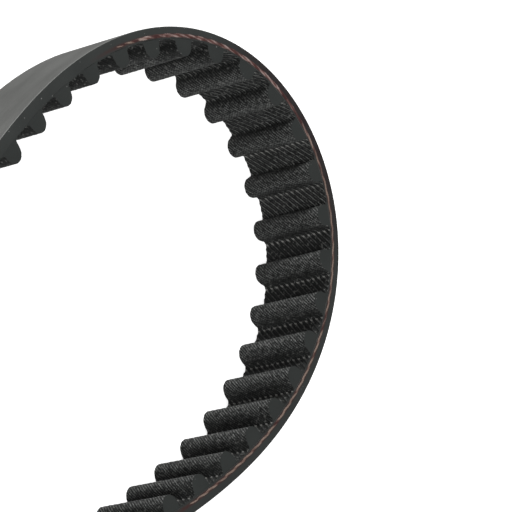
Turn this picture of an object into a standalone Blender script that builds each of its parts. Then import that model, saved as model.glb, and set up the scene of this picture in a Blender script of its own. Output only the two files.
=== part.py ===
"""An endless toothed timing belt of 36 teeth and 8 mm pitch, standing on one edge.

The belt is laid up as the real one is: a rubber backing, a pair of tensile cords wound side by side
round the whole loop, a moulded rubber lug inside each tooth, and a woven facing over the toothed
side. The loop's axis is along +Z and its long way along X. The origin is the middle of the loop's
box, on the surface that the belt stands on.
"""

import math

import bpy
from mathutils import Matrix, Vector

MM = 0.001

# The toothing.
TOOTH_COUNT = 36
PITCH = 8.0 * MM
TOOTH_HEIGHT = 2.8 * MM
TIP_RADIUS = 1.75 * MM
ROOT_RADIUS = 0.65 * MM
FLANK_ANGLE = math.radians(12.0)

# The layers. Heights are measured outwards from the cords' centres, which are the pitch line.
BELT_WIDTH = 14.4 * MM
BACK_HEIGHT = 1.5 * MM
LAND_HEIGHT = -0.6 * MM
FACING_THICKNESS = 0.15 * MM
CORD_RADIUS = 0.4 * MM
LAYER_GAP = 0.05 * MM

# The two cords alternate across the width and stay inside the cut edges.
STRAND_SPACING = 1.6 * MM
STRAND_MARGIN = 0.5 * MM

# The loop is a round ring drawn out lengthwise, with one end blunter than the other and its
# sides flattened. Each value is how far, in radians, it swings the way that the back faces.
DRAWN_OUT = 0.375
ONE_END_BLUNT = -0.078
SIDES_FLAT = 0.042

# A tooth is stiff from this far below the land. Above that it bends with the belt.
STIFF_DEPTH = 0.8 * MM

# How finely the curves are stepped.
STATIONS_PER_PITCH = 2
STATIONS = TOOTH_COUNT * STATIONS_PER_PITCH
STEPS_PER_STATION = 10
FILLET_STEPS = 2
TIP_STEPS = 4
CLOSING_ROUNDS = 30
CORD_BEVEL_RESOLUTION = 2

# Colour, roughness and metallic value of each layer.
FINISHES = {
    "backing rubber": ((0.050, 0.052, 0.050, 1.0), 0.55, 0.0),
    "tooth rubber": ((0.075, 0.080, 0.078, 1.0), 0.65, 0.0),
    "facing cloth": ((0.028, 0.030, 0.029, 1.0), 0.80, 0.0),
    "cord": ((0.28, 0.16, 0.13, 1.0), 0.70, 0.0),
}


def back_direction(turn, lean):
    """Which way the back faces, at a share of the loop's length given as an angle."""
    swing = DRAWN_OUT * math.sin(2 * turn) + ONE_END_BLUNT * math.sin(3 * turn)
    return turn + lean * math.sin(turn) + swing + SIDES_FLAT * math.sin(4 * turn)


def closing_lean():
    """The lean at which the pitch line comes back to where it started."""
    steps = STATIONS * STEPS_PER_STATION
    turns = [math.tau * (i + 0.5) / steps for i in range(steps)]
    lean = 0.0
    for _ in range(CLOSING_ROUNDS):
        miss = sum(math.cos(back_direction(turn, lean)) for turn in turns) / steps
        lean += 2 * miss
    return lean


def pitch_line():
    """Stations at even distances round the pitch line, as (point, angle that the back faces).

    The first is at a tooth's centre, at the +X end. The line is centred on the origin.
    """
    lean = closing_lean()
    steps = STATIONS * STEPS_PER_STATION
    stride = TOOTH_COUNT * PITCH / steps
    place = Vector((0.0, 0.0))
    stations = []
    for i in range(steps):
        if i % STEPS_PER_STATION == 0:
            stations.append((place.copy(), back_direction(math.tau * i / steps, lean)))
        angle = back_direction(math.tau * (i + 0.5) / steps, lean)
        place += Vector((-math.sin(angle), math.cos(angle))) * stride
    middle = (stations[0][0] + stations[STATIONS // 2][0]) / 2
    return [(point - middle, angle) for point, angle in stations]


def outwards(angle):
    return Vector((math.cos(angle), math.sin(angle)))


def on_belt(line, along, height):
    """The point that is so far along the pitch line and so far out from it."""
    place = along / PITCH * STATIONS_PER_PITCH
    before = math.floor(place)
    ends = []
    for number in (before, before + 1):
        point, angle = line[number % STATIONS]
        ends.append(point + outwards(angle) * height)
    return ends[0].lerp(ends[1], place - before)


def on_tooth(line, tooth, along, height):
    """As on_belt, from the middle of one tooth, whose lower part keeps its moulded shape."""
    point, angle = line[tooth * STATIONS_PER_PITCH]
    stiff = point + outwards(angle) * height + outwards(angle + math.pi / 2) * along
    bent = on_belt(line, tooth * PITCH + along, height)
    stiffness = min(max((LAND_HEIGHT - height) / STIFF_DEPTH, 0.0), 1.0)
    return bent.lerp(stiff, stiffness)


def arc(centre, radius, start, end, steps):
    angles = [start + (end - start) * i / steps for i in range(steps + 1)]
    return [centre + outwards(angle) * radius for angle in angles]


def tooth_profile(inset):
    """A tooth's outline as (along, height), from land to land, drawn in by the inset.

    The round tip runs into straight flanks, and a fillet joins each flank to the land.
    """
    tip = Vector((0.0, LAND_HEIGHT - TOOTH_HEIGHT + TIP_RADIUS))
    flank_faces = outwards(-FLANK_ANGLE)
    flank_runs = outwards(math.pi / 2 - FLANK_ANGLE)
    beside_tip = tip + flank_faces * (TIP_RADIUS + ROOT_RADIUS)
    climb = (LAND_HEIGHT - ROOT_RADIUS - beside_tip.y) / flank_runs.y
    root = beside_tip + flank_runs * climb
    quarter, flank_end = math.pi / 2, math.pi - FLANK_ANGLE
    fillet = arc(root, ROOT_RADIUS + inset, quarter, flank_end, FILLET_STEPS)
    half_tip = arc(tip, TIP_RADIUS - inset, -FLANK_ANGLE, -quarter, TIP_STEPS)
    right = fillet + half_tip
    left = [Vector((-point.x, point.y)) for point in reversed(right[:-1])]
    return right + left


def filled_outline(name, loops, finish, parent):
    """A flat outline, as wide as the belt. A second loop is the hole in it."""
    curve = bpy.data.curves.new(name, "CURVE")
    curve.dimensions = "2D"
    curve.fill_mode = "BOTH"
    curve.extrude = BELT_WIDTH / 2
    for loop in loops:
        spline = curve.splines.new("POLY")
        spline.points.add(len(loop) - 1)
        for spot, point in zip(spline.points, loop):
            spot.co = (point.x, point.y, 0.0, 1.0)
        spline.use_cyclic_u = True
    return add_part(name, curve, finish, parent)


def add_part(name, data, finish, parent):
    data.materials.append(finish)
    part = bpy.data.objects.new(name, data)
    part.parent = parent
    part.location.z = BELT_WIDTH / 2
    parent.users_collection[0].objects.link(part)
    return part


def add_backing(line, finish, parent):
    """The rubber band from just outside the cords to the belt's smooth back."""
    inner_height = CORD_RADIUS + LAYER_GAP
    loops = []
    for height in (BACK_HEIGHT, inner_height):
        loops.append([point + outwards(angle) * height for point, angle in line])
    return filled_outline("backing", loops, finish, parent)


def add_cord(line, name, first_station, finish, parent):
    """One tensile cord, wound from the lower edge up to the upper one."""
    rise = 2 * STRAND_SPACING / STATIONS
    reach = BELT_WIDTH - 2 * STRAND_MARGIN - 2 * CORD_RADIUS
    curve = bpy.data.curves.new(name, "CURVE")
    curve.dimensions = "3D"
    curve.bevel_depth = CORD_RADIUS
    curve.bevel_resolution = CORD_BEVEL_RESOLUTION
    curve.use_fill_caps = True
    curve.twist_mode = "Z_UP"
    spline = curve.splines.new("POLY")
    steps = int(reach / rise)
    spline.points.add(steps)
    for step, spot in enumerate(spline.points):
        point, _ = line[(first_station + step) % STATIONS]
        spot.co = (point.x, point.y, rise * step - reach / 2, 1.0)
    return add_part(name, curve, finish, parent)


def add_lug(line, tooth, finish, parent):
    """The rubber core of one tooth, from under the cords to inside the facing."""
    profile = tooth_profile(FACING_THICKNESS + LAYER_GAP)[1:-1]
    profile.append(Vector((0.0, profile[0].y)))
    point, angle = line[tooth * STATIONS_PER_PITCH]
    turn_back = Matrix.Rotation(-angle, 2)
    outline = []
    for spot in profile:
        outline.append(turn_back @ (on_tooth(line, tooth, spot.x, spot.y) - point))
    lug = filled_outline(f"tooth_{tooth + 1:02d}", [outline], finish, parent)
    lug.location.x, lug.location.y = point
    lug.rotation_euler.z = angle
    return lug


def add_facing(line, finish, parent):
    """The woven cloth that covers every tooth and land in one piece."""
    loops = []
    for inset in (FACING_THICKNESS, 0.0):
        loop = []
        for tooth in range(TOOTH_COUNT):
            for spot in reversed(tooth_profile(inset)):
                loop.append(on_tooth(line, tooth, spot.x, spot.y))
            loop.append(on_belt(line, (tooth + 0.5) * PITCH, LAND_HEIGHT + inset))
        loops.append(loop)
    return filled_outline("tooth_facing", loops, finish, parent)


def make_finish(name):
    colour, roughness, metallic = FINISHES[name]
    finish = bpy.data.materials.new(name)
    finish.use_nodes = True
    shader = finish.node_tree.nodes["Principled BSDF"]
    shader.inputs["Base Color"].default_value = colour
    shader.inputs["Roughness"].default_value = roughness
    shader.inputs["Metallic"].default_value = metallic
    finish.diffuse_color = colour
    return finish


def build():
    for old in list(bpy.data.objects):
        bpy.data.objects.remove(old)
    collection = bpy.data.collections.new("Timing belt")
    bpy.context.scene.collection.children.link(collection)
    belt = bpy.data.objects.new("belt", None)
    collection.objects.link(belt)
    finishes = {name: make_finish(name) for name in FINISHES}
    line = pitch_line()
    add_backing(line, finishes["backing rubber"], belt)
    add_cord(line, "cord_s_twist", 0, finishes["cord"], belt)
    add_cord(line, "cord_z_twist", STATIONS // 2, finishes["cord"], belt)
    for tooth in range(TOOTH_COUNT):
        add_lug(line, tooth, finishes["tooth rubber"], belt)
    add_facing(line, finishes["facing cloth"], belt)


build()
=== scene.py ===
"""Looks of the toothed timing belt: layered rubber, twisted cords and a woven facing."""

import math

import bpy
import numpy as np
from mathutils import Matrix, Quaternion, Vector


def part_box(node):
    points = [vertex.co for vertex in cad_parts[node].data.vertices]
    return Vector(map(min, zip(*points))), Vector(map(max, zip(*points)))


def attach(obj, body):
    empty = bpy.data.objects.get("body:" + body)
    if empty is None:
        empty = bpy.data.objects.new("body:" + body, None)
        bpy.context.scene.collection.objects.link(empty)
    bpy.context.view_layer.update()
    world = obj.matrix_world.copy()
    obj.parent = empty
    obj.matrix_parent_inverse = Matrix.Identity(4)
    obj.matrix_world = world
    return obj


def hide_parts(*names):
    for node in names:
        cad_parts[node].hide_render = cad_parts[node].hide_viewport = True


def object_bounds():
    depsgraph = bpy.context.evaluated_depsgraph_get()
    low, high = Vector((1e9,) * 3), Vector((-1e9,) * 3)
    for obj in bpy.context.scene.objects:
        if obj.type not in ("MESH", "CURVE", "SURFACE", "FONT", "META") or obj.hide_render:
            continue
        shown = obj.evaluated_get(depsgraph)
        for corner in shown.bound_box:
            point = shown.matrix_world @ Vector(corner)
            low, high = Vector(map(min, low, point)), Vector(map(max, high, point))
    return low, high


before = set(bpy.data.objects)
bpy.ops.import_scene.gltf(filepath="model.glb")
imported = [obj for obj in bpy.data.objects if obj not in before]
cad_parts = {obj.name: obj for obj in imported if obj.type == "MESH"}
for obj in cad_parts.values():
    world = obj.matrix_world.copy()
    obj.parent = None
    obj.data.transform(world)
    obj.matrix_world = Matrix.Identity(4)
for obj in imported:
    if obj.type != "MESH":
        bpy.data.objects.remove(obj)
cad_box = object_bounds()

MM = 0.001
BODY = "root"

# The toothing. Heights are measured outwards from the cords' centres, which are the pitch line.
TOOTH_COUNT = 36
PITCH = 8.0 * MM
TOOTH_HEIGHT = 2.8 * MM
TIP_RADIUS = 1.75 * MM
ROOT_RADIUS = 0.65 * MM
FLANK_ANGLE = math.radians(12.0)
STIFF_DEPTH = 0.8 * MM
BACK_HEIGHT = 1.5 * MM
INNER_HEIGHT = -0.45 * MM
LAND_HEIGHT = -0.6 * MM
CLOTH_THICKNESS = INNER_HEIGHT - LAND_HEIGHT
BACK_EDGE_ROUND = 0.14 * MM
BACK_EDGE_STEPS = 4
FILLET_STEPS = 8
TIP_STEPS = 14
LAND_ENDS = LAND_HEIGHT - ROOT_RADIUS / 2
FOLD_ENDS = LAND_HEIGHT - ROOT_RADIUS / 8

# The belt stands on its lower cut edge.
LOWER_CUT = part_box("backing")[0].z
UPPER_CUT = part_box("backing")[1].z
BELT_WIDTH = UPPER_CUT - LOWER_CUT
BELT_LENGTH = TOOTH_COUNT * PITCH

# The loop: a round ring drawn out lengthwise, one end blunter than the other.
DRAWN_OUT = 0.375
ONE_END_BLUNT = -0.078
SIDES_FLAT = 0.042
STATIONS_PER_PITCH = 24
STATIONS = TOOTH_COUNT * STATIONS_PER_PITCH
CLOSING_ROUNDS = 30

# The cords: two strands side by side, each of three plies, wound from one cut edge to the other.
# Over the half turn next to each cut, the knife has laid the strand's outer plies open.
CORD_RADIUS = 0.4 * MM
CORD_TURNS = 4
CORD_LAY = 8.0 * MM
PLIES = 3
PLY_RELIEF = 0.11
CORD_SIDES = 18
OPEN_TURNS = 0.5
OPEN_STEP = 0.35 * MM
BURIED_STEP = 4.0 * MM
BURIED_DEPTH = 0.46 * MM
NICKED_DEPTH = 0.28 * MM
OPEN_DEPTH = 0.16 * MM
NICKED_OVER = 0.07
OPENS = (0.56, 0.68)
CLOSES = (0.88, 1.0)
CORD_PROUD = 0.012 * MM

# Each strand's node, the turn it starts at, where on its last half turn the cut meets it, its hand.
STRANDS = (("cord_s_twist", 0.19, 0.0, 1), ("cord_z_twist", 0.69, 0.3, -1))

# The facing: a 2/2 twill. Its ribs run slantwise, back along the travel as they cross the belt.
RIBS_PER_PITCH = 10
YARNS_PER_RIB = 4
RIB_PITCH_ACROSS = 1.18 * MM
COLUMNS_PER_RIB = 6
COLUMNS_PER_ROW = 2
RIB_DEPTH = 0.13 * MM
RIB_STEEPNESS = 3
RIB_ON_TEETH = 0.25
YARN_UNEVENNESS = 0.012 * MM
WEAVE_SEED = 7
RIM = 0.3
ROWS = round(BELT_WIDTH / RIB_PITCH_ACROSS * COLUMNS_PER_RIB / COLUMNS_PER_ROW)


# ---------------------------------------------------------------- the loop's shape
def back_direction(turn, lean):
    """Which way the back faces, at a share of the loop's length given as an angle."""
    swing = DRAWN_OUT * math.sin(2 * turn) + ONE_END_BLUNT * math.sin(3 * turn)
    return turn + lean * math.sin(turn) + swing + SIDES_FLAT * math.sin(4 * turn)


def closing_lean():
    """The lean at which the pitch line comes back to where it started."""
    turns = [math.tau * (i + 0.5) / STATIONS for i in range(STATIONS)]
    lean = 0.0
    for _ in range(CLOSING_ROUNDS):
        lean += 2 * sum(math.cos(back_direction(turn, lean)) for turn in turns) / STATIONS
    return lean


def pitch_line():
    """Stations at even distances round the pitch line, as (point, angle that the back faces)."""
    lean = closing_lean()
    place = Vector((0.0, 0.0))
    stations = []
    for i in range(STATIONS):
        stations.append((place.copy(), back_direction(math.tau * i / STATIONS, lean)))
        angle = back_direction(math.tau * (i + 0.5) / STATIONS, lean)
        place += Vector((-math.sin(angle), math.cos(angle))) * (BELT_LENGTH / STATIONS)
    middle = (stations[0][0] + stations[STATIONS // 2][0]) / 2
    return [(point - middle, angle) for point, angle in stations]


LINE = pitch_line()


def outwards(angle):
    return Vector((math.cos(angle), math.sin(angle)))


def on_belt(along, height):
    """The point that is so far along the pitch line and so far out from it."""
    place = along / BELT_LENGTH * STATIONS
    before = math.floor(place)
    ends = []
    for number in (before, before + 1):
        point, angle = LINE[number % STATIONS]
        ends.append(point + outwards(angle) * height)
    return ends[0].lerp(ends[1], place - before)


def on_tooth(tooth, along, height):
    """As on_belt, from the middle of one tooth, whose lower part keeps its moulded shape."""
    point, angle = LINE[tooth * STATIONS_PER_PITCH % STATIONS]
    stiff = point + outwards(angle) * height + outwards(angle + math.pi / 2) * along
    bent = on_belt(tooth * PITCH + along, height)
    return bent.lerp(stiff, min(max((LAND_HEIGHT - height) / STIFF_DEPTH, 0.0), 1.0))


def arc(centre, radius, start, end, steps):
    angles = [start + (end - start) * i / steps for i in range(steps + 1)]
    return [centre + outwards(angle) * radius for angle in angles]


def tooth_profile(inset):
    """A tooth's outline as (along, height), from land to land, drawn in by the inset."""
    tip = Vector((0.0, LAND_HEIGHT - TOOTH_HEIGHT + TIP_RADIUS))
    flank_faces = outwards(-FLANK_ANGLE)
    flank_runs = outwards(math.pi / 2 - FLANK_ANGLE)
    beside_tip = tip + flank_faces * (TIP_RADIUS + ROOT_RADIUS)
    climb = (LAND_HEIGHT - ROOT_RADIUS - beside_tip.y) / flank_runs.y
    root = beside_tip + flank_runs * climb
    quarter, flank_end = math.pi / 2, math.pi - FLANK_ANGLE
    fillet = arc(root, ROOT_RADIUS + inset, quarter, flank_end, FILLET_STEPS)
    half_tip = arc(tip, TIP_RADIUS - inset, -FLANK_ANGLE, -quarter, TIP_STEPS)
    right = fillet + half_tip
    left = [Vector((-point.x, point.y)) for point in reversed(right[:-1])]
    return right + left


# ---------------------------------------------------------------- node trees
def put(tree, socket, value):
    if isinstance(value, bpy.types.NodeSocket):
        tree.links.new(value, socket)
    else:
        socket.default_value = value


def add(tree, kind, how=None, **inputs):
    """A node of one kind. how holds its settings, and each input is a value or an output."""
    node = tree.nodes.new(kind)
    for setting, value in (how or {}).items():
        setattr(node, setting, value)
    enabled = {socket.name: socket for socket in node.inputs if socket.enabled}
    for name, value in inputs.items():
        put(tree, enabled[name.replace("_", " ")], value)
    return node


def sums(tree, operation, *values):
    """The result of one sum on numbers."""
    node = tree.nodes.new("ShaderNodeMath")
    node.operation = operation
    for socket, value in zip(node.inputs, values):
        put(tree, socket, value)
    return node.outputs[0]


def vectors(tree, operation, *values):
    """The result of one sum on vectors."""
    node = tree.nodes.new("ShaderNodeVectorMath")
    node.operation = operation
    for socket, value in zip(node.inputs, values):
        put(tree, socket, value)
    return node.outputs[0]


def scaled(tree, vector, factor):
    return add(tree, "ShaderNodeVectorMath", {"operation": "SCALE"}, Vector=vector,
               Scale=factor).outputs[0]


def spread(tree, value, start, end, low=0.0, high=1.0, smooth=False):
    """A value between start and end, carried over to the range from low to high."""
    how = {"interpolation_type": "SMOOTHSTEP" if smooth else "LINEAR"}
    ends = {"From_Min": start, "From_Max": end, "To_Min": low, "To_Max": high}
    return add(tree, "ShaderNodeMapRange", how, Value=value, **ends).outputs[0]


def join(tree, x, y, z):
    return add(tree, "ShaderNodeCombineXYZ", X=x, Y=y, Z=z).outputs[0]


def split(tree, vector):
    return add(tree, "ShaderNodeSeparateXYZ", Vector=vector).outputs


# ---------------------------------------------------------------- pieces from geometry trees
def new_geometry_tree(name, sizes):
    """A tree with a geometry input and named sizes, as (tree, the inputs by name)."""
    group = bpy.data.node_groups.new(name, "GeometryNodeTree")
    group.interface.new_socket("Geometry", in_out="INPUT", socket_type="NodeSocketGeometry")
    for size, value in sizes.items():
        kind = "NodeSocketObject" if isinstance(value, bpy.types.Object) else "NodeSocketFloat"
        group.interface.new_socket(size, in_out="INPUT", socket_type=kind)
    group.interface.new_socket("Geometry", in_out="OUTPUT", socket_type="NodeSocketGeometry")
    return group, add(group, "NodeGroupInput").outputs


def end_geometry_tree(tree, shape, finishes):
    """Realizes the shape and gives it its finish. A further finish comes with its selection."""
    shape = add(tree, "GeometryNodeRealizeInstances", Geometry=shape).outputs[0]
    for finish, selection in finishes:
        shape = add(tree, "GeometryNodeSetMaterial", Geometry=shape, Selection=selection,
                    Material=finish).outputs[0]
    out = tree.nodes.new("NodeGroupOutput")
    tree.links.new(shape, out.inputs[0])


SHARPEST_SMOOTH = math.radians(55.0)
NEARLY_LEVEL = 0.9
UPWARDS = (0.0, 0.0, 1.0)


def grow(base, tree, sizes):
    """Turns a base object into the plain mesh that a geometry tree makes of it."""
    modifier = base.modifiers.new("grow", "NODES")
    modifier.node_group = tree
    for item in tree.interface.items_tree:
        if item.name in sizes:
            modifier[item.identifier] = sizes[item.name]
    bpy.context.view_layer.update()
    evaluated = base.evaluated_get(bpy.context.evaluated_depsgraph_get())
    mesh = bpy.data.meshes.new_from_object(evaluated)
    name = base.name
    bpy.data.objects.remove(base)
    mesh.name = name
    mesh.shade_smooth()
    mesh.set_sharp_from_angle(angle=SHARPEST_SMOOTH)
    piece = bpy.data.objects.new(name, mesh)
    bpy.context.scene.collection.objects.link(piece)
    return piece


def base_curve(name, loops, closed=True):
    """A curve object with one straight-sided spline through each list of points."""
    curve = bpy.data.curves.new(name, "CURVE")
    curve.dimensions = "3D"
    for loop in loops:
        spline = curve.splines.new("POLY")
        spline.points.add(len(loop) - 1)
        for spot, point in zip(spline.points, loop):
            spot.co = (*point.to_3d(), 1.0)
        spline.use_cyclic_u = closed
    piece = bpy.data.objects.new(name, curve)
    bpy.context.scene.collection.objects.link(piece)
    return piece


def stands_for(piece, slot, *nodes):
    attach(piece, BODY)
    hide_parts(*nodes)


# ---------------------------------------------------------------- camera
VIEW_TARGET = Vector((38.15, -13.59, 7.2)) * MM
VIEW_DISTANCE = 546.6 * MM
VIEW_HEADING = math.radians(112.545)
VIEW_DIP = math.radians(40.19)
VIEW_ROLL = math.radians(76.53)
LENS = 231.7


def make_camera():
    """Looks down across the loop at the teeth inside its blunt end, turned on its side."""
    level = Vector((math.sin(VIEW_HEADING), math.cos(VIEW_HEADING), 0.0)) * math.cos(VIEW_DIP)
    ahead = level - Vector((0.0, 0.0, math.sin(VIEW_DIP)))
    camera = bpy.data.objects.new("camera", bpy.data.cameras.new("camera"))
    camera.data.lens = LENS
    camera.rotation_mode = "QUATERNION"
    roll = Quaternion((0.0, 0.0, 1.0), VIEW_ROLL)
    camera.rotation_quaternion = ahead.to_track_quat("-Z", "Y") @ roll
    camera.location = VIEW_TARGET - ahead * VIEW_DISTANCE
    bpy.context.scene.collection.objects.link(camera)
    bpy.context.scene.camera = camera


# ---------------------------------------------------------------- finishes
def new_finish(name):
    """A material with an empty tree but for its shader, as (material, tree, shader)."""
    finish = bpy.data.materials.new(name)
    finish.use_nodes = True
    tree = finish.node_tree
    return finish, tree, tree.nodes["Principled BSDF"]


def object_place(tree):
    return tree.nodes.new("ShaderNodeTexCoord").outputs["Object"]


def attribute(tree, name, output="Fac"):
    return add(tree, "ShaderNodeAttribute", {"attribute_name": name}).outputs[output]


def stretched(tree, place, scale):
    return add(tree, "ShaderNodeMapping", Vector=place, Scale=scale).outputs[0]


def mottle(tree, place, scale, detail=2.0, roughness=0.5):
    """Even noise from 0 to 1, with so many patches to the metre."""
    return add(tree, "ShaderNodeTexNoise", Vector=place, Scale=scale, Detail=detail,
               Roughness=roughness).outputs[0]


def blend(tree, share, first, second):
    """One colour going over to another. Either may be another node's output."""
    node = tree.nodes.new("ShaderNodeMix")
    node.data_type = "RGBA"
    put(tree, node.inputs[0], share)
    for socket, colour in zip(node.inputs[6:8], (first, second)):
        put(tree, socket, colour if isinstance(colour, bpy.types.NodeSocket) else (*colour, 1.0))
    return node.outputs[2]


def raise_surface(tree, shader, height, depth):
    bump = add(tree, "ShaderNodeBump", Height=height, Distance=depth)
    tree.links.new(bump.outputs[0], shader.inputs["Normal"])


def facing_up(tree):
    """Picks the faces that lie in a cut edge, which faces up or down."""
    upwards = split(tree, add(tree, "GeometryNodeInputNormal").outputs[0])[2]
    return sums(tree, "GREATER_THAN", sums(tree, "ABSOLUTE", upwards), NEARLY_LEVEL)


def dust(tree, place, scale, start, end):
    """Sparse light specks, as a share from 0 to 1."""
    return spread(tree, mottle(tree, place, scale, 0.0), start, end)


CUT_DARK = (0.026, 0.029, 0.028)
CUT_LIGHT = (0.040, 0.044, 0.042)
TOOTH_DARK = (0.022, 0.025, 0.024)
TOOTH_LIGHT = (0.034, 0.038, 0.036)
PALE_DUST = (0.26, 0.26, 0.25)

# Scales are in patches to the metre. Dust also has the noise at which a speck starts and is full.
SPECKLE_SCALE = 5200
CUT_CLOUDS_SCALE = 160
CUT_DUST = (2100, 0.83, 0.88)
CUT_RELIEF = 0.012 * MM


def cut_rubber(name, dark, light):
    """Rubber parted by a knife: matt and finely speckled, with a few specks of pale dust."""
    finish, tree, shader = new_finish(name)
    place = object_place(tree)
    speckle = mottle(tree, place, SPECKLE_SCALE, 3.0, 0.6)
    clouds = mottle(tree, place, CUT_CLOUDS_SCALE)
    tone = sums(tree, "MULTIPLY_ADD", speckle, 0.55, sums(tree, "MULTIPLY", clouds, 0.45))
    colour = blend(tree, spread(tree, tone, 0.3, 0.7), dark, light)
    colour = blend(tree, dust(tree, place, *CUT_DUST), colour, PALE_DUST)
    tree.links.new(colour, shader.inputs["Base Color"])
    tree.links.new(spread(tree, speckle, 0.3, 0.7, 0.52, 0.66), shader.inputs["Roughness"])
    shader.inputs["Specular IOR Level"].default_value = 0.35
    raise_surface(tree, shader, speckle, CUT_RELIEF)
    return finish, tree, shader, colour


# Where the cut edge is stained: along the cords on the side of the loop where they come close to
# the cut, and darker outside them at the blunt end.
STAIN = (0.050, 0.020, 0.018)
STAIN_REACH = 0.55 * MM
STAIN_SLANT = -0.8
STAIN_FROM = (-9.0 * MM, 0.0)
SMEAR = (0.020, 0.013, 0.014)
SMEAR_FROM = (46.0 * MM, 56.0 * MM)
SMEAR_REACH = 0.5 * MM
PATCHES_SCALE = 700


def backing_cut_finish():
    """The cut side of the backing, stained by the cords it was parted through."""
    finish, tree, shader, colour = cut_rubber("cut backing rubber", CUT_DARK, CUT_LIGHT)
    height = attribute(tree, "height")
    near = spread(tree, sums(tree, "ABSOLUTE", height), STAIN_REACH, 0.0, smooth=True)
    place = object_place(tree)
    x, y, _ = split(tree, place)
    nicked_side = spread(tree, sums(tree, "MULTIPLY_ADD", y, STAIN_SLANT, x), *STAIN_FROM)
    near = sums(tree, "MULTIPLY", near, nicked_side)
    at_blunt_end = spread(tree, x, *SMEAR_FROM, smooth=True)
    outside = spread(tree, height, 0.0, SMEAR_REACH, smooth=True)
    smear = sums(tree, "MULTIPLY", at_blunt_end, outside)
    patches = spread(tree, mottle(tree, place, PATCHES_SCALE, 3.0), 0.35, 0.6)
    uneven = sums(tree, "MULTIPLY_ADD", patches, 0.4, 0.6)
    colour = blend(tree, sums(tree, "MULTIPLY", smear, uneven), colour, SMEAR)
    colour = blend(tree, sums(tree, "MULTIPLY", near, uneven), colour, STAIN)
    tree.links.new(colour, shader.inputs["Base Color"])
    return finish


BACK_DARK = (0.105, 0.107, 0.102)
BACK_LIGHT = (0.200, 0.203, 0.195)
ALONG_TRAVEL = (0.05, 0.05, 1.0)
LONG_CLOUDS = (1.0, 1.0, 2.5)
GRAIN_SCALE = 4200
BACK_CLOUDS_SCALE = 90
BACK_RELIEF = 0.010 * MM


def ground_back_finish():
    """The back, ground true on a wheel: satin, with fine lines along the belt's travel."""
    finish, tree, shader = new_finish("ground backing rubber")
    place = object_place(tree)
    lines = mottle(tree, stretched(tree, place, ALONG_TRAVEL), SPECKLE_SCALE, 3.0, 0.6)
    grain = mottle(tree, place, GRAIN_SCALE, 2.0, 0.6)
    clouds = mottle(tree, stretched(tree, place, LONG_CLOUDS), BACK_CLOUDS_SCALE, 3.0)
    relief = sums(tree, "MULTIPLY_ADD", lines, 0.6, sums(tree, "MULTIPLY", grain, 0.4))
    tone = sums(tree, "MULTIPLY_ADD", relief, 0.6, sums(tree, "MULTIPLY", clouds, 0.4))
    colour = blend(tree, spread(tree, tone, 0.32, 0.68), BACK_DARK, BACK_LIGHT)
    tree.links.new(colour, shader.inputs["Base Color"])
    tree.links.new(spread(tree, tone, 0.3, 0.7, 0.42, 0.58), shader.inputs["Roughness"])
    shader.inputs["Specular IOR Level"].default_value = 0.5
    raise_surface(tree, shader, relief, BACK_RELIEF)
    return finish


def wave(tree, phase, harmonic=1.0):
    """From 0 to 1 and back, so many times for each whole step of the phase."""
    turned = sums(tree, "COSINE", sums(tree, "MULTIPLY", phase, math.tau * harmonic))
    return sums(tree, "MULTIPLY_ADD", turned, 0.5, 0.5)


def yarn_height(tree, travel, across):
    """How far the yarn on top stands up, where one unit each way is one yarn."""
    heights = []
    for own, other, side in ((travel, across, 0.3), (across, travel, -0.3)):
        bulge = sums(tree, "ABSOLUTE", sums(tree, "SINE", sums(tree, "MULTIPLY", own, math.pi)))
        along_yarn = sums(tree, "ADD", sums(tree, "FLOOR", own), other)
        floats = wave(tree, sums(tree, "DIVIDE", along_yarn, YARNS_PER_RIB))
        heights.append(sums(tree, "MULTIPLY_ADD", floats, side, bulge))
    return spread(tree, sums(tree, "MAXIMUM", *heights), 0.4, 1.2)


# The ribs' bright lines on the lands, each with a fainter one beside it, and the teeth's hatch.
RIB_WANDER = 0.16
WANDER_SCALE = 450
RIB_NARROWNESS = 8.0
SECOND_LINE = 0.5
SECOND_SHARE = 0.22
# The teeth's hatch goes from darker flanks to lighter crowns: painted shade and painted highlight.
CROWN_PAINTED_LIGHT = (0.35, 0.95)
HATCH_SHARE = (0.22, 0.74)
STREAK_SHAPE = (2.6, 0.9, 1.0)
STREAK_SPREAD = (0.40, 0.66, 0.04, 2.3)
FOLD_NARROWNESS = 8.0
LINT = (2200, 0.66, 0.78)
LINT_SHARE = 0.45
WORN_SCALE = 220
TWILL_RELIEF = 0.12 * MM
FACING_GAP = (0.012, 0.0130, 0.0125)
FACING_YARN = (0.330, 0.340, 0.330)
# Pale yarn on the rib crests at the folds beside the teeth: a painted highlight.
CREASE_HIGHLIGHT_YARN = (0.60, 0.60, 0.57)

# Painted shade in the cloth's colour: on the lands along one side of the loop, and by the upper cut
# on the other.
PAINTED_SHADE_SIDE = (-19.0 * MM, -11.0 * MM)
PAINTED_SHADE_SHARE = 0.24
PAINTED_SHADE_EDGE = (8.0 * MM, 12.5 * MM)
EDGE_PAINTED_SHADE = 0.8
EDGE_PAINTED_SHADE_SIDE = (14.0 * MM, 24.0 * MM)


def rib_lines(tree, rib_phase, crests):
    ribs = sums(tree, "POWER", crests, RIB_NARROWNESS)
    beside = wave(tree, sums(tree, "ADD", rib_phase, 0.5 + SECOND_LINE))
    beside = sums(tree, "POWER", beside, 2 * RIB_NARROWNESS)
    return sums(tree, "MULTIPLY_ADD", beside, SECOND_SHARE, ribs)


def tooth_hatch(tree, rib_phase, hatch_phase):
    """Crossed yarns, darker on the teeth's flanks and lighter towards their crowns: painted shade
    and painted highlight.
    """
    crossing = sums(tree, "MULTIPLY_ADD", wave(tree, hatch_phase, 2.0), 0.7, 0.3)
    hatch = sums(tree, "MULTIPLY", wave(tree, rib_phase, 2.0), crossing)
    crown_light = spread(tree, attribute(tree, "crown"), *CROWN_PAINTED_LIGHT, *HATCH_SHARE)
    return sums(tree, "MULTIPLY", hatch, crown_light)


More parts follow.
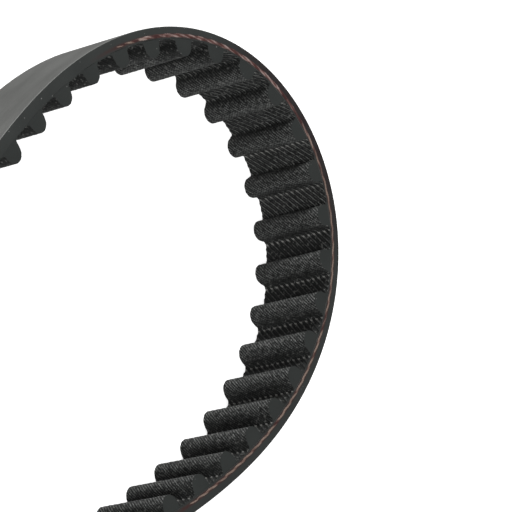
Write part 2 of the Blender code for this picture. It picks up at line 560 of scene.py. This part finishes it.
def twill_pattern(tree, rib_phase, hatch_phase, crests, place):
    """How light the ribs and the hatch are, broken up by streaks along the yarns and darkened by
    painted shade.
    """
    _, side, height = split(tree, place)
    # Painted shade: the ribs darker on the lands along one side of the loop.
    unshaded = spread(tree, side, *PAINTED_SHADE_SIDE, PAINTED_SHADE_SHARE, 1.0)
    ribs = sums(tree, "MULTIPLY", rib_lines(tree, rib_phase, crests), unshaded)
    hatch = tooth_hatch(tree, rib_phase, hatch_phase)
    ribs_over_hatch = sums(tree, "SUBTRACT", ribs, hatch)
    pattern = sums(tree, "MULTIPLY_ADD", attribute(tree, "land"), ribs_over_hatch, hatch)
    along_yarns = stretched(tree, join(tree, rib_phase, hatch_phase, 0.0), STREAK_SHAPE)
    streaks = spread(tree, mottle(tree, along_yarns, 1.0, 3.0, 0.7), *STREAK_SPREAD)
    pattern = sums(tree, "MULTIPLY", pattern, streaks)
    # Painted shade: the pattern darker towards the upper cut on the other side of the loop.
    edge_shade = spread(tree, height, *PAINTED_SHADE_EDGE, 0.0, EDGE_PAINTED_SHADE)
    edge_shade = sums(tree, "MULTIPLY", edge_shade, spread(tree, side, *EDGE_PAINTED_SHADE_SIDE))
    return sums(tree, "MULTIPLY", pattern, sums(tree, "SUBTRACT", 1.0, edge_shade))


def facing_colour(tree, tone, crests, place):
    """The yarns' colour, with a painted highlight on the ribs at the folds beside the teeth, and
    some lint.
    """
    fold = sums(tree, "POWER", attribute(tree, "crease"), FOLD_NARROWNESS)
    # The pale rib crests at the folds are a painted highlight.
    crease_highlight = sums(tree, "MULTIPLY", fold, spread(tree, crests, 0.45, 0.9))
    colour = blend(tree, tone, FACING_GAP, FACING_YARN)
    colour = blend(tree, crease_highlight, colour, CREASE_HIGHLIGHT_YARN)
    lint = sums(tree, "MULTIPLY", dust(tree, place, *LINT), LINT_SHARE)
    return blend(tree, lint, colour, PALE_DUST)


def facing_finish():
    """Black nylon twill: dark between the yarns, with a dull shine along their tops."""
    finish, tree, shader = new_finish("black twill facing")
    travel, across, _ = split(tree, add(tree, "ShaderNodeUVMap", {"uv_map": "cloth"}).outputs[0])
    place = object_place(tree)
    wander = sums(tree, "MULTIPLY", mottle(tree, place, WANDER_SCALE), RIB_WANDER)
    rib_phase = sums(tree, "DIVIDE", sums(tree, "ADD", travel, across), YARNS_PER_RIB)
    rib_phase = sums(tree, "ADD", rib_phase, wander)
    hatch_phase = sums(tree, "DIVIDE", sums(tree, "SUBTRACT", travel, across), YARNS_PER_RIB)
    crests = wave(tree, sums(tree, "ADD", rib_phase, 0.5))
    pattern = twill_pattern(tree, rib_phase, hatch_phase, crests, place)
    yarns = yarn_height(tree, travel, across)
    tone = sums(tree, "MULTIPLY", pattern, sums(tree, "MULTIPLY_ADD", yarns, 0.6, 0.5))
    tree.links.new(facing_colour(tree, tone, crests, place), shader.inputs["Base Color"])
    worn = mottle(tree, place, WORN_SCALE, 3.0)
    tree.links.new(spread(tree, worn, 0.3, 0.7, 0.40, 0.56), shader.inputs["Roughness"])
    shader.inputs["Specular IOR Level"].default_value = 0.3
    shader.inputs["Sheen Weight"].default_value = 0.04
    shader.inputs["Sheen Roughness"].default_value = 0.25
    relief = sums(tree, "MULTIPLY_ADD", yarns, 0.25, sums(tree, "MULTIPLY", pattern, 0.75))
    raise_surface(tree, shader, relief, TWILL_RELIEF)
    return finish


DARK_DRESSING = (0.052, 0.017, 0.016)
LIGHT_DRESSING = (0.13, 0.050, 0.040)
OPEN_GLASS = (0.42, 0.32, 0.30)
NICKED_GLASS = (0.26, 0.19, 0.155)
FIBRES_ALONG = 260.0
FIBRES_AROUND = (9.0, 9.0, 1.0)
DRESSING_SCALE = 420
FIBRE_RELIEF = 0.02 * MM


def cord_finish():
    """Glass yarn in a reddish-brown dressing: pale where the knife has opened the plies."""
    finish, tree, shader = new_finish("dressed glass cord")
    side = split(tree, attribute(tree, "around", "Vector"))
    along = sums(tree, "MULTIPLY", attribute(tree, "run"), FIBRES_ALONG)
    place = join(tree, side[0], side[1], along)
    fibres = mottle(tree, stretched(tree, place, FIBRES_AROUND), 1.0, 3.0, 0.65)
    patches = spread(tree, mottle(tree, object_place(tree), DRESSING_SCALE), 0.35, 0.65)
    angle = sums(tree, "ARCTAN2", side[1], side[0])
    ply = sums(tree, "COSINE", sums(tree, "MULTIPLY", angle, PLIES))
    crests = sums(tree, "MULTIPLY_ADD", ply, 0.16, sums(tree, "MULTIPLY", fibres, 1.1))
    crests = sums(tree, "MULTIPLY_ADD", patches, 0.5, crests)
    nicked = spread(tree, attribute(tree, "depth"), OPEN_DEPTH, NICKED_DEPTH)
    pale = spread(tree, sums(tree, "MULTIPLY_ADD", nicked, 0.3, crests), 0.80, 1.25)
    dressing = blend(tree, patches, DARK_DRESSING, LIGHT_DRESSING)
    bare = blend(tree, nicked, OPEN_GLASS, NICKED_GLASS)
    colour = blend(tree, pale, dressing, bare)
    tree.links.new(colour, shader.inputs["Base Color"])
    shader.inputs["Roughness"].default_value = 0.55
    shader.inputs["Specular IOR Level"].default_value = 0.4
    raise_surface(tree, shader, fibres, FIBRE_RELIEF)
    return finish


# ---------------------------------------------------------------- cords
def eased(value, start, end):
    """From 0 at the start to 1 at the end, without a corner at either."""
    share = min(max((value - start) / (end - start), 0.0), 1.0)
    return share * share * (3 - 2 * share)


def depth_in_cut(share, met_at):
    """How deep the strand's middle lies, from where the cut first meets it to where it is lost."""
    met = eased(share, met_at, met_at + NICKED_OVER)
    opened = eased(share, *OPENS)
    lost = eased(share, *CLOSES)
    depth = BURIED_DEPTH + (NICKED_DEPTH - BURIED_DEPTH) * met
    depth += (OPEN_DEPTH - NICKED_DEPTH) * opened
    return depth + (BURIED_DEPTH - depth) * lost


def strand_route(first_turn, met_at):
    """One strand's centre line, from the lower cut edge up to the upper one."""
    height_gained = BELT_WIDTH - 2 * BURIED_DEPTH
    points = []
    turn = 0.0
    while turn <= CORD_TURNS:
        if turn < OPEN_TURNS:
            z = LOWER_CUT + depth_in_cut(1 - turn / OPEN_TURNS, met_at)
        elif turn > CORD_TURNS - OPEN_TURNS:
            z = UPPER_CUT - depth_in_cut(1 - (CORD_TURNS - turn) / OPEN_TURNS, met_at)
        else:
            share = (turn - OPEN_TURNS) / (CORD_TURNS - 2 * OPEN_TURNS)
            z = LOWER_CUT + BURIED_DEPTH + height_gained * share
        points.append(Vector((*on_belt((first_turn + turn) * BELT_LENGTH, 0.0), z)))
        buried = OPEN_TURNS < turn < CORD_TURNS - OPEN_TURNS
        turn += (BURIED_STEP if buried else OPEN_STEP) / BELT_LENGTH
    return points


def ply_section(tree, radius):
    """The strand's outline across, with one lobe for each ply."""
    ring = add(tree, "GeometryNodeCurvePrimitiveCircle", Resolution=CORD_SIDES,
               Radius=1.0).outputs[0]
    spot = add(tree, "GeometryNodeInputPosition").outputs[0]
    ring = add(tree, "GeometryNodeStoreNamedAttribute", {"data_type": "FLOAT_VECTOR"},
               Geometry=ring, Name="around", Value=spot).outputs[0]
    turned = add(tree, "GeometryNodeSplineParameter").outputs["Factor"]
    lobes = sums(tree, "COSINE", sums(tree, "MULTIPLY", turned, math.tau * PLIES))
    reach = sums(tree, "MULTIPLY_ADD", lobes, PLY_RELIEF, 1.0 - PLY_RELIEF)
    reach = sums(tree, "MULTIPLY", reach, radius)
    return add(tree, "GeometryNodeSetPosition", Geometry=ring,
               Position=scaled(tree, spot, reach)).outputs[0]


def cord_tree(sizes, finish):
    """A strand of twisted plies along its route, sheared off level with both cut edges."""
    tree, size = new_geometry_tree("twisted cord", sizes)
    length = add(tree, "GeometryNodeSplineParameter").outputs["Length"]
    route = add(tree, "GeometryNodeSetCurveNormal", {"mode": "Z_UP"}, Curve=size[0]).outputs[0]
    route = add(tree, "GeometryNodeStoreNamedAttribute", Geometry=route, Name="run",
                Value=length).outputs[0]
    centre = split(tree, add(tree, "GeometryNodeInputPosition").outputs[0])[2]
    below = sums(tree, "SUBTRACT", size["Upper Cut"], centre)
    above = sums(tree, "SUBTRACT", centre, size["Lower Cut"])
    route = add(tree, "GeometryNodeStoreNamedAttribute", Geometry=route, Name="depth",
                Value=sums(tree, "MINIMUM", below, above)).outputs[0]
    twist = sums(tree, "DIVIDE", sums(tree, "MULTIPLY", length, math.tau), size["Lay"])
    route = add(tree, "GeometryNodeSetCurveTilt", Curve=route, Tilt=twist).outputs[0]
    section = ply_section(tree, size["Radius"])
    strand = add(tree, "GeometryNodeCurveToMesh", Curve=route, Profile_Curve=section,
                 Fill_Caps=True)
    x, y, z = split(tree, add(tree, "GeometryNodeInputPosition").outputs[0])
    level = sums(tree, "MINIMUM", sums(tree, "MAXIMUM", z, size["Lower Cut"]), size["Upper Cut"])
    strand = add(tree, "GeometryNodeSetPosition", Geometry=strand.outputs[0],
                 Position=join(tree, x, y, level)).outputs[0]
    end_geometry_tree(tree, strand, [(finish, True)])
    return tree


def make_cords():
    sizes = {"Radius": CORD_RADIUS, "Lay": CORD_LAY,
             "Lower Cut": LOWER_CUT - CORD_PROUD, "Upper Cut": UPPER_CUT + CORD_PROUD}
    tree = cord_tree(sizes, cord_finish())
    for node, first_turn, met_at, hand in STRANDS:
        base = base_curve(f"twisted_{node}", [strand_route(first_turn, met_at)], closed=False)
        piece = grow(base, tree, {**sizes, "Lay": CORD_LAY * hand})
        stands_for(piece, "cord", node)


# ---------------------------------------------------------------- backing
def backing_tree(sizes, back_finish, cut_finish):
    """A band along the pitch line with its two back edges rounded off."""
    tree, size = new_geometry_tree("backing band", sizes)
    path = add(tree, "GeometryNodeSetCurveNormal", {"mode": "Z_UP"}, Curve=size[0]).outputs[0]
    depth = sums(tree, "SUBTRACT", size["Back Height"], size["Inner Height"])
    section = add(tree, "GeometryNodeCurvePrimitiveQuadrilateral", Width=depth,
                  Height=size["Belt Width"]).outputs[0]
    middle = sums(tree, "ADD", size["Back Height"], size["Inner Height"])
    middle = sums(tree, "MULTIPLY", middle, 0.5)
    half = sums(tree, "MULTIPLY", size["Belt Width"], -0.5)
    section = add(tree, "GeometryNodeTransform", Geometry=section,
                  Translation=join(tree, middle, half, 0.0)).outputs[0]
    spot = split(tree, add(tree, "GeometryNodeInputPosition").outputs[0])
    at_back = sums(tree, "GREATER_THAN", spot[0], 0.0)
    rounding = sums(tree, "MULTIPLY", at_back, size["Edge Round"])
    section = add(tree, "GeometryNodeFilletCurve", {"mode": "POLY"}, Curve=section,
                  Count=BACK_EDGE_STEPS, Radius=rounding).outputs[0]
    section = add(tree, "GeometryNodeStoreNamedAttribute", Geometry=section, Name="height",
                  Value=spot[0]).outputs[0]
    band = add(tree, "GeometryNodeCurveToMesh", Curve=path, Profile_Curve=section).outputs[0]
    end_geometry_tree(tree, band, [(back_finish, True), (cut_finish, facing_up(tree))])
    return tree


def make_backing():
    sizes = {"Back Height": BACK_HEIGHT, "Inner Height": INNER_HEIGHT,
             "Belt Width": BELT_WIDTH, "Edge Round": BACK_EDGE_ROUND}
    tree = backing_tree(sizes, ground_back_finish(), backing_cut_finish())
    base = base_curve("rubber_backing", [[Vector((*point, LOWER_CUT)) for point, _ in LINE]])
    stands_for(grow(base, tree, sizes), "backing_rubber", "backing")


# ---------------------------------------------------------------- tooth rubber
def lug_outline(tooth):
    """The rubber inside one tooth, from the backing down to the inside of the facing."""
    profile = tooth_profile(CLOTH_THICKNESS)
    return [on_tooth(tooth, spot.x, spot.y) for spot in profile]


def lug_tree(sizes, finish):
    """A solid of each closed outline, as wide as the belt."""
    tree, size = new_geometry_tree("tooth lugs", sizes)
    top = join(tree, 0.0, 0.0, size["Upper Cut"])
    bottom = join(tree, 0.0, 0.0, size["Lower Cut"])
    rise = add(tree, "GeometryNodeCurvePrimitiveLine", Start=bottom, End=top).outputs[0]
    rise = add(tree, "GeometryNodeSetCurveNormal", {"mode": "FREE"}, Curve=rise,
               Normal=(1.0, 0.0, 0.0)).outputs[0]
    lugs = add(tree, "GeometryNodeCurveToMesh", Curve=rise, Profile_Curve=size[0], Fill_Caps=True)
    end_geometry_tree(tree, lugs.outputs[0], [(finish, True)])
    return tree


def make_lugs(finish):
    sizes = {"Lower Cut": LOWER_CUT, "Upper Cut": UPPER_CUT}
    tree = lug_tree(sizes, finish)
    base = base_curve("tooth_lugs", [lug_outline(tooth) for tooth in range(TOOTH_COUNT)])
    piece = grow(base, tree, sizes)
    nodes = [f"tooth_{tooth + 1:02d}" for tooth in range(TOOTH_COUNT)]
    stands_for(piece, "tooth_rubber", *nodes)


# ---------------------------------------------------------------- facing
def toothed_line():
    """The exposed side of the cloth once round, with each point's shares of land, crease and crown.

    The crease is where a land ends at the tooth that follows it, and the crown is a tooth's top.
    """
    points, on_land, in_crease, on_crown = [], [], [], []
    for tooth in range(TOOTH_COUNT):
        for spot in reversed(tooth_profile(0.0)):
            points.append(on_tooth(tooth, spot.x, spot.y))
            on_land.append(1.0 if spot.y > LAND_ENDS else 0.0)
            at_fold = spot.y > FOLD_ENDS and spot.x < 0
            in_crease.append(1.0 if at_fold else 0.0)
            on_crown.append((LAND_HEIGHT - spot.y) / TOOTH_HEIGHT)
        points.append(on_belt((tooth + 0.5) * PITCH, LAND_HEIGHT))
        on_land.append(1.0)
        in_crease.append(0.0)
        on_crown.append(0.0)
    return points, on_land, in_crease, on_crown


def woven_strip(path_length, distances, on_land, *others):
    """The cloth as woven, flat and closed on itself: x along, y towards the pulleys, z across.

    Its columns of faces run slantwise with the ribs. The front comes first, then the inner edges.
    """
    columns = TOOTH_COUNT * RIBS_PER_PITCH * COLUMNS_PER_RIB
    column = np.arange(columns)[:, None]
    row = np.arange(ROWS + 1)[None, :]
    along = (column - COLUMNS_PER_ROW * row) % columns * (path_length / columns)
    land = np.interp(along, distances, on_land)
    rib = np.abs(np.sin(math.pi * column / COLUMNS_PER_RIB)) ** RIB_STEEPNESS - 0.5
    uneven = np.random.default_rng(WEAVE_SEED).normal(0.0, YARN_UNEVENNESS, along.shape)
    relief = rib * RIB_DEPTH * (RIB_ON_TEETH + (1 - RIB_ON_TEETH) * land) + uneven
    across = LOWER_CUT + row * (BELT_WIDTH / ROWS) + 0 * column
    front = np.stack([along, relief, across], axis=-1).reshape(-1, 3)
    straight = np.arange(columns) * (path_length / columns)
    inner = [np.stack([straight, 0 * straight - CLOTH_THICKNESS, 0 * straight + z], axis=-1)
             for z in (LOWER_CUT, UPPER_CUT)]
    shares = [land] + [np.interp(along, distances, other) for other in others]
    shares = [np.concatenate([share.ravel(), np.zeros(2 * columns)]) for share in shares]
    return columns, np.concatenate([front, *inner]), shares


def strip_faces(columns):
    """The strip's faces, and the yarn numbers (travel, across) at each of their corners.

    Each cut edge is a rim of faces from the front to the inner side, and the last face of each
    column closes the inner side.
    """
    faces, yarns = [], []
    low = columns * (ROWS + 1)
    high = low + columns
    travel_yarns = YARNS_PER_RIB / COLUMNS_PER_RIB
    across_yarns = travel_yarns * COLUMNS_PER_ROW
    slip = COLUMNS_PER_ROW * ROWS

    def add_face(*corners):
        faces.append([number for number, column, row in corners])
        yarns.extend((column * travel_yarns, row * across_yarns) for number, column, row in corners)

    def front(i, j):
        return i % columns * (ROWS + 1) + j, i - COLUMNS_PER_ROW * j, j

    def edge(start, i, j):
        return start + i % columns, i, j

    for i in range(columns):
        for j in range(ROWS):
            add_face(front(i, j), front(i, j + 1), front(i + 1, j + 1), front(i + 1, j))
        add_face(front(i, 0), front(i + 1, 0), edge(low, i + 1, -RIM), edge(low, i, -RIM))
        top = [edge(high, i - slip + step, ROWS + RIM) for step in (0, 1)]
        add_face(front(i, ROWS), top[0], top[1], front(i + 1, ROWS))
        add_face(edge(low, i, 0), edge(low, i + 1, 0), edge(high, i + 1, ROWS), edge(high, i, ROWS))
    return faces, yarns


def facing_tree(sizes, finish, cut_finish):
    """Lays the flat strip along the toothed line, with its ribs towards the pulleys."""
    tree, size = new_geometry_tree("facing on teeth", sizes)
    along, towards_pulley, across = split(tree, add(tree, "GeometryNodeInputPosition").outputs[0])
    line = add(tree, "GeometryNodeObjectInfo", Object=size["Toothed Line"]).outputs["Geometry"]
    place = add(tree, "GeometryNodeSampleCurve", {"mode": "LENGTH"}, Curves=line, Length=along)
    inwards = vectors(tree, "CROSS_PRODUCT", UPWARDS, place.outputs["Tangent"])
    lift = scaled(tree, inwards, towards_pulley)
    at = vectors(tree, "ADD", place.outputs["Position"], lift)
    at = vectors(tree, "ADD", at, join(tree, 0.0, 0.0, across))
    laid = add(tree, "GeometryNodeSetPosition", Geometry=size[0], Position=at).outputs[0]
    end_geometry_tree(tree, laid, [(finish, True), (cut_finish, facing_up(tree))])
    return tree


def make_facing(cut_finish):
    points, *shares = toothed_line()
    line = base_curve("toothed_line", [points])
    gaps = [(b - a).length for a, b in zip(points, points[1:] + points[:1])]
    distances = np.concatenate([[0.0], np.cumsum(gaps)])
    closed = [share + share[:1] for share in shares]
    columns, points, shares = woven_strip(distances[-1], distances, *closed)
    faces, yarns = strip_faces(columns)
    mesh = bpy.data.meshes.new("facing")
    mesh.from_pydata(points.tolist(), [], faces)
    cloth = mesh.uv_layers.new(name="cloth")
    cloth.data.foreach_set("uv", np.asarray(yarns, np.float32).ravel())
    for name, share in zip(("land", "crease", "crown"), shares):
        mesh.attributes.new(name, "FLOAT", "POINT").data.foreach_set("value", share)
    base = bpy.data.objects.new("woven_facing", mesh)
    bpy.context.scene.collection.objects.link(base)
    sizes = {"Toothed Line": line}
    piece = grow(base, facing_tree(sizes, facing_finish(), cut_finish), sizes)
    bpy.data.objects.remove(line)
    stands_for(piece, "facing_cloth", "tooth_facing")


# ---------------------------------------------------------------- studio
FLOOR_SIZE = 6.0
FLOOR_DROP = 0.02 * MM
PAPER_DARK = (0.90, 0.90, 0.90)
PAPER_LIGHT = (0.93, 0.93, 0.93)
WHITE = (1.0, 1.0, 1.0, 1.0)
PAPER_GLOW = 0.8
SKY_STRENGTH = 0.20

# Each softbox: where it stands as a direction, its size in metres and its power in watts.
SOFTBOX_DISTANCE = 1.2
SOFTBOXES = (("key", (0.48, 0.76, 0.42), 0.40, 12.0),
             ("overhead", (-0.75, 0.12, 0.65), 0.5, 6.0),
             ("rim", (-0.35, -0.90, 0.28), 0.5, 4.5))


def floor_finish():
    """Paper that glows a little, so that it comes out nearly white."""
    finish, tree, shader = new_finish("pale paper")
    grain = mottle(tree, object_place(tree), 900, 3.0)
    colour = blend(tree, grain, PAPER_DARK, PAPER_LIGHT)
    tree.links.new(colour, shader.inputs["Base Color"])
    shader.inputs["Roughness"].default_value = 0.9
    shader.inputs["Specular IOR Level"].default_value = 0.1
    shader.inputs["Emission Color"].default_value = WHITE
    shader.inputs["Emission Strength"].default_value = PAPER_GLOW
    return finish


def make_floor():
    """Plain paper under the belt, which neither lights it nor shows in its gloss."""
    half = FLOOR_SIZE / 2
    z = cad_box[0].z - FLOOR_DROP
    mesh = bpy.data.meshes.new("floor")
    mesh.from_pydata([(-half, -half, z), (half, -half, z), (half, half, z), (-half, half, z)],
                     [], [(0, 1, 2, 3)])
    mesh.materials.append(floor_finish())
    floor = bpy.data.objects.new("floor", mesh)
    floor.visible_diffuse = False
    floor.visible_glossy = False
    bpy.context.scene.collection.objects.link(floor)


def softbox(name, direction, size, power):
    """A square lamp that faces the middle of the belt."""
    lamp = bpy.data.lights.new(name, "AREA")
    lamp.size = size
    lamp.energy = power
    light = bpy.data.objects.new(name, lamp)
    towards = Vector(direction).normalized()
    light.location = towards * SOFTBOX_DISTANCE
    light.rotation_mode = "QUATERNION"
    light.rotation_quaternion = towards.to_track_quat("Z", "Y")
    bpy.context.scene.collection.objects.link(light)


def make_studio():
    world = bpy.data.worlds.new("studio")
    world.use_nodes = True
    sky = world.node_tree.nodes["Background"]
    sky.inputs["Color"].default_value = WHITE
    sky.inputs["Strength"].default_value = SKY_STRENGTH
    bpy.context.scene.world = world
    bpy.context.scene.view_settings.view_transform = "Standard"
    for name, direction, size, power in SOFTBOXES:
        softbox(name, direction, size, power)


# ---------------------------------------------------------------- the whole
make_camera()
make_cords()
make_backing()
tooth_cut = cut_rubber("cut tooth rubber", TOOTH_DARK, TOOTH_LIGHT)[0]
make_lugs(tooth_cut)
make_facing(tooth_cut)
make_floor()
make_studio()
